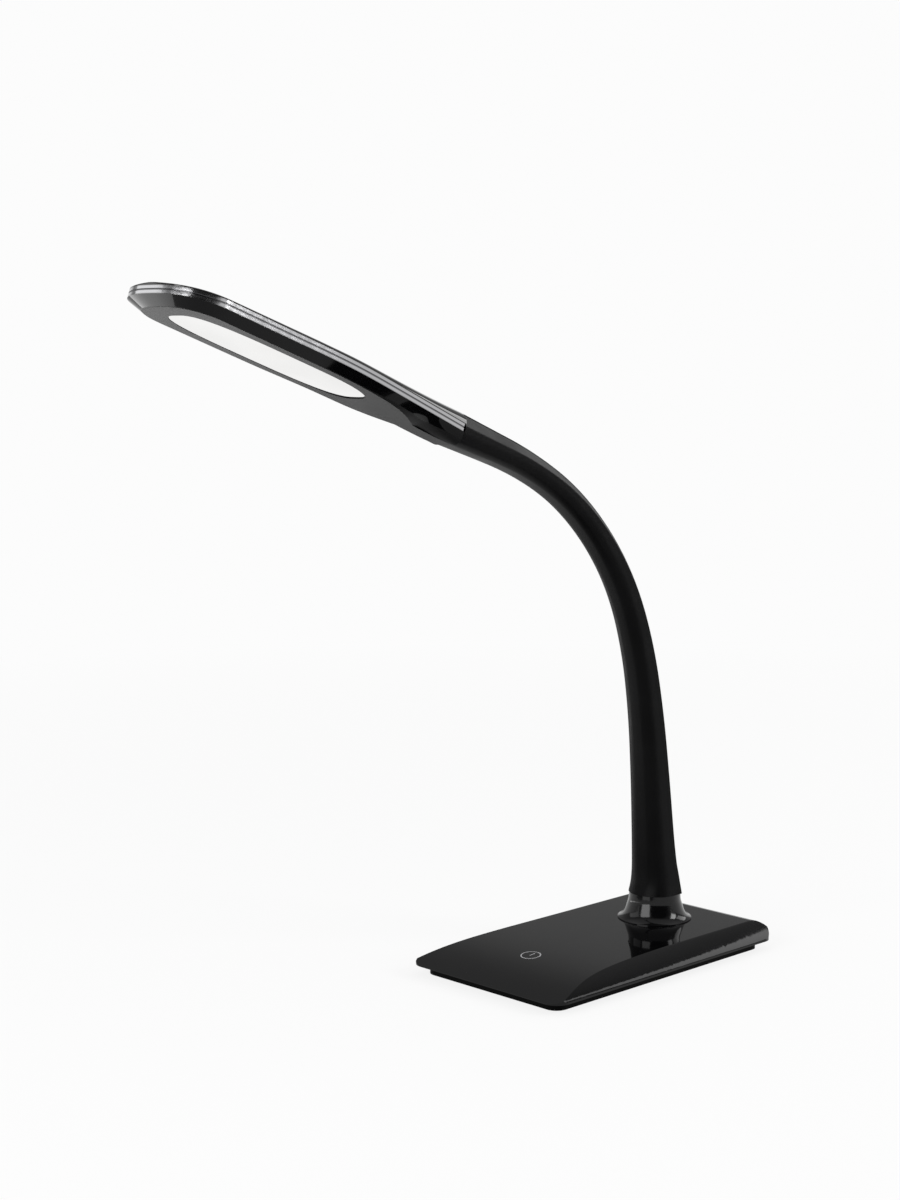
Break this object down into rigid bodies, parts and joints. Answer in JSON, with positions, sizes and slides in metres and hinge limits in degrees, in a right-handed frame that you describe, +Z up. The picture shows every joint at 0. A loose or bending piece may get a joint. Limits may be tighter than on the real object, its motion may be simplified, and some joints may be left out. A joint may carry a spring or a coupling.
{
  "type": "gooseneck desk lamp",
  "caption": "Desk lamp with a flat light head on a bendable rubber-covered gooseneck, rising from a weighted rectangular touch base.",
  "frame": {"origin": "centre of the anti-slip pad's lower face, on the table plane", "axes": "+Z up; the head reaches out over the base towards -Y; +X to the lamp's left when seen from the front"},
  "size_m": [0.1124, 0.3981, 0.3754],
  "materials": {
    "gloss_black": "high gloss black moulding",
    "head_black": "high gloss black moulding",
    "sleeve_rubber": "matte soft-touch black rubber",
    "trim_silver": "satin silver",
    "diffuser_white": "milky white, lit",
    "tray_black": "fine matte moulding",
    "pad_rubber": "matte foam rubber",
    "weight_iron": "rough cast, oiled",
    "steel": "zinc plated",
    "board_green": "solder mask",
    "component_black": "moulded packages",
    "electrode_brass": "tinned spring brass",
    "inlet_black": "moulded housing",
    "lead_jacket": "flexible jacket",
    "reflector_white": "white moulding",
    "led_board_white": "white coated metal-core board",
    "led_yellow": "phosphor",
    "spreader_aluminium": "mill finish"
  },
  "bodies": {
    "base": {"anti_slip_pad": "pad_rubber", "base_cover": "gloss_black", "base_screws": "steel", "base_tray": "tray_black", "board_components": "component_black", "board_screws": "steel", "control_board": "board_green", "counterweight": "weight_iron", "dc_inlet": "inlet_black", "inlet_lead": "lead_jacket", "neck_collar": "gloss_black", "root_ferrule": "steel", "root_nut": "steel", "root_washer": "steel", "touch_electrode": "electrode_brass", "neck_sleeve_1": "sleeve_rubber", "gooseneck_core_1": "steel", "lamp_lead_1": "lead_jacket"},
    "link_2": {"neck_sleeve_2": "sleeve_rubber", "gooseneck_core_2": "steel", "lamp_lead_2": "lead_jacket"},
    "link_3": {"neck_sleeve_3": "sleeve_rubber", "gooseneck_core_3": "steel", "lamp_lead_3": "lead_jacket"},
    "link_4": {"neck_sleeve_4": "sleeve_rubber", "gooseneck_core_4": "steel", "lamp_lead_4": "lead_jacket"},
    "link_5": {"neck_sleeve_5": "sleeve_rubber", "gooseneck_core_5": "steel", "lamp_lead_5": "lead_jacket"},
    "link_6": {"neck_sleeve_6": "sleeve_rubber", "gooseneck_core_6": "steel", "lamp_lead_6": "lead_jacket"},
    "link_7": {"neck_sleeve_7": "sleeve_rubber", "gooseneck_core_7": "steel", "lamp_lead_7": "lead_jacket"},
    "link_8": {"neck_sleeve_8": "sleeve_rubber", "gooseneck_core_8": "steel", "lamp_lead_8": "lead_jacket"},
    "head": {"neck_sleeve_9": "sleeve_rubber", "gooseneck_core_9": "steel", "lamp_lead_9": "lead_jacket", "head_lower_shell": "head_black", "head_top_cover": "head_black", "trim_strip": "trim_silver", "diffuser": "diffuser_white", "reflector_frame": "reflector_white", "led_board": "led_board_white", "leds": "led_yellow", "heat_spreader": "spreader_aluminium", "head_screws": "steel", "head_ferrule": "steel", "ferrule_screws": "steel"}
  },
  "joints": [
    {"name": "neck_tilt_1", "type": "hinge", "parent": "base", "child": "link_2", "pos_m": [0, 0.04668, 0.08128], "axis": [1, 0, 0], "range_deg": [-14, 14]},
    {"name": "neck_sway_2", "type": "hinge", "parent": "link_2", "child": "link_3", "pos_m": [0, 0.04284, 0.11908], "axis": [0, 0.9936, 0.1132], "range_deg": [-12, 12]},
    {"name": "neck_tilt_3", "type": "hinge", "parent": "link_3", "child": "link_4", "pos_m": [0, 0.03703, 0.15663], "axis": [1, 0, 0], "range_deg": [-14, 14]},
    {"name": "neck_tilt_4", "type": "hinge", "parent": "link_4", "child": "link_5", "pos_m": [0, 0.02669, 0.19315], "axis": [1, 0, 0], "range_deg": [-14, 14]},
    {"name": "neck_sway_5", "type": "hinge", "parent": "link_5", "child": "link_6", "pos_m": [0, 0.00899, 0.22666], "axis": [0, 0.8171, 0.5764], "range_deg": [-12, 12]},
    {"name": "neck_tilt_6", "type": "hinge", "parent": "link_6", "child": "link_7", "pos_m": [0, -0.01619, 0.25501], "axis": [1, 0, 0], "range_deg": [-14, 14]},
    {"name": "neck_tilt_7", "type": "hinge", "parent": "link_7", "child": "link_8", "pos_m": [0, -0.04713, 0.27692], "axis": [1, 0, 0], "range_deg": [-14, 14]},
    {"name": "neck_sway_8", "type": "hinge", "parent": "link_8", "child": "head", "pos_m": [0, -0.08173, 0.29254], "axis": [0, 0.342, 0.9397], "range_deg": [-12, 12]}
  ]
}
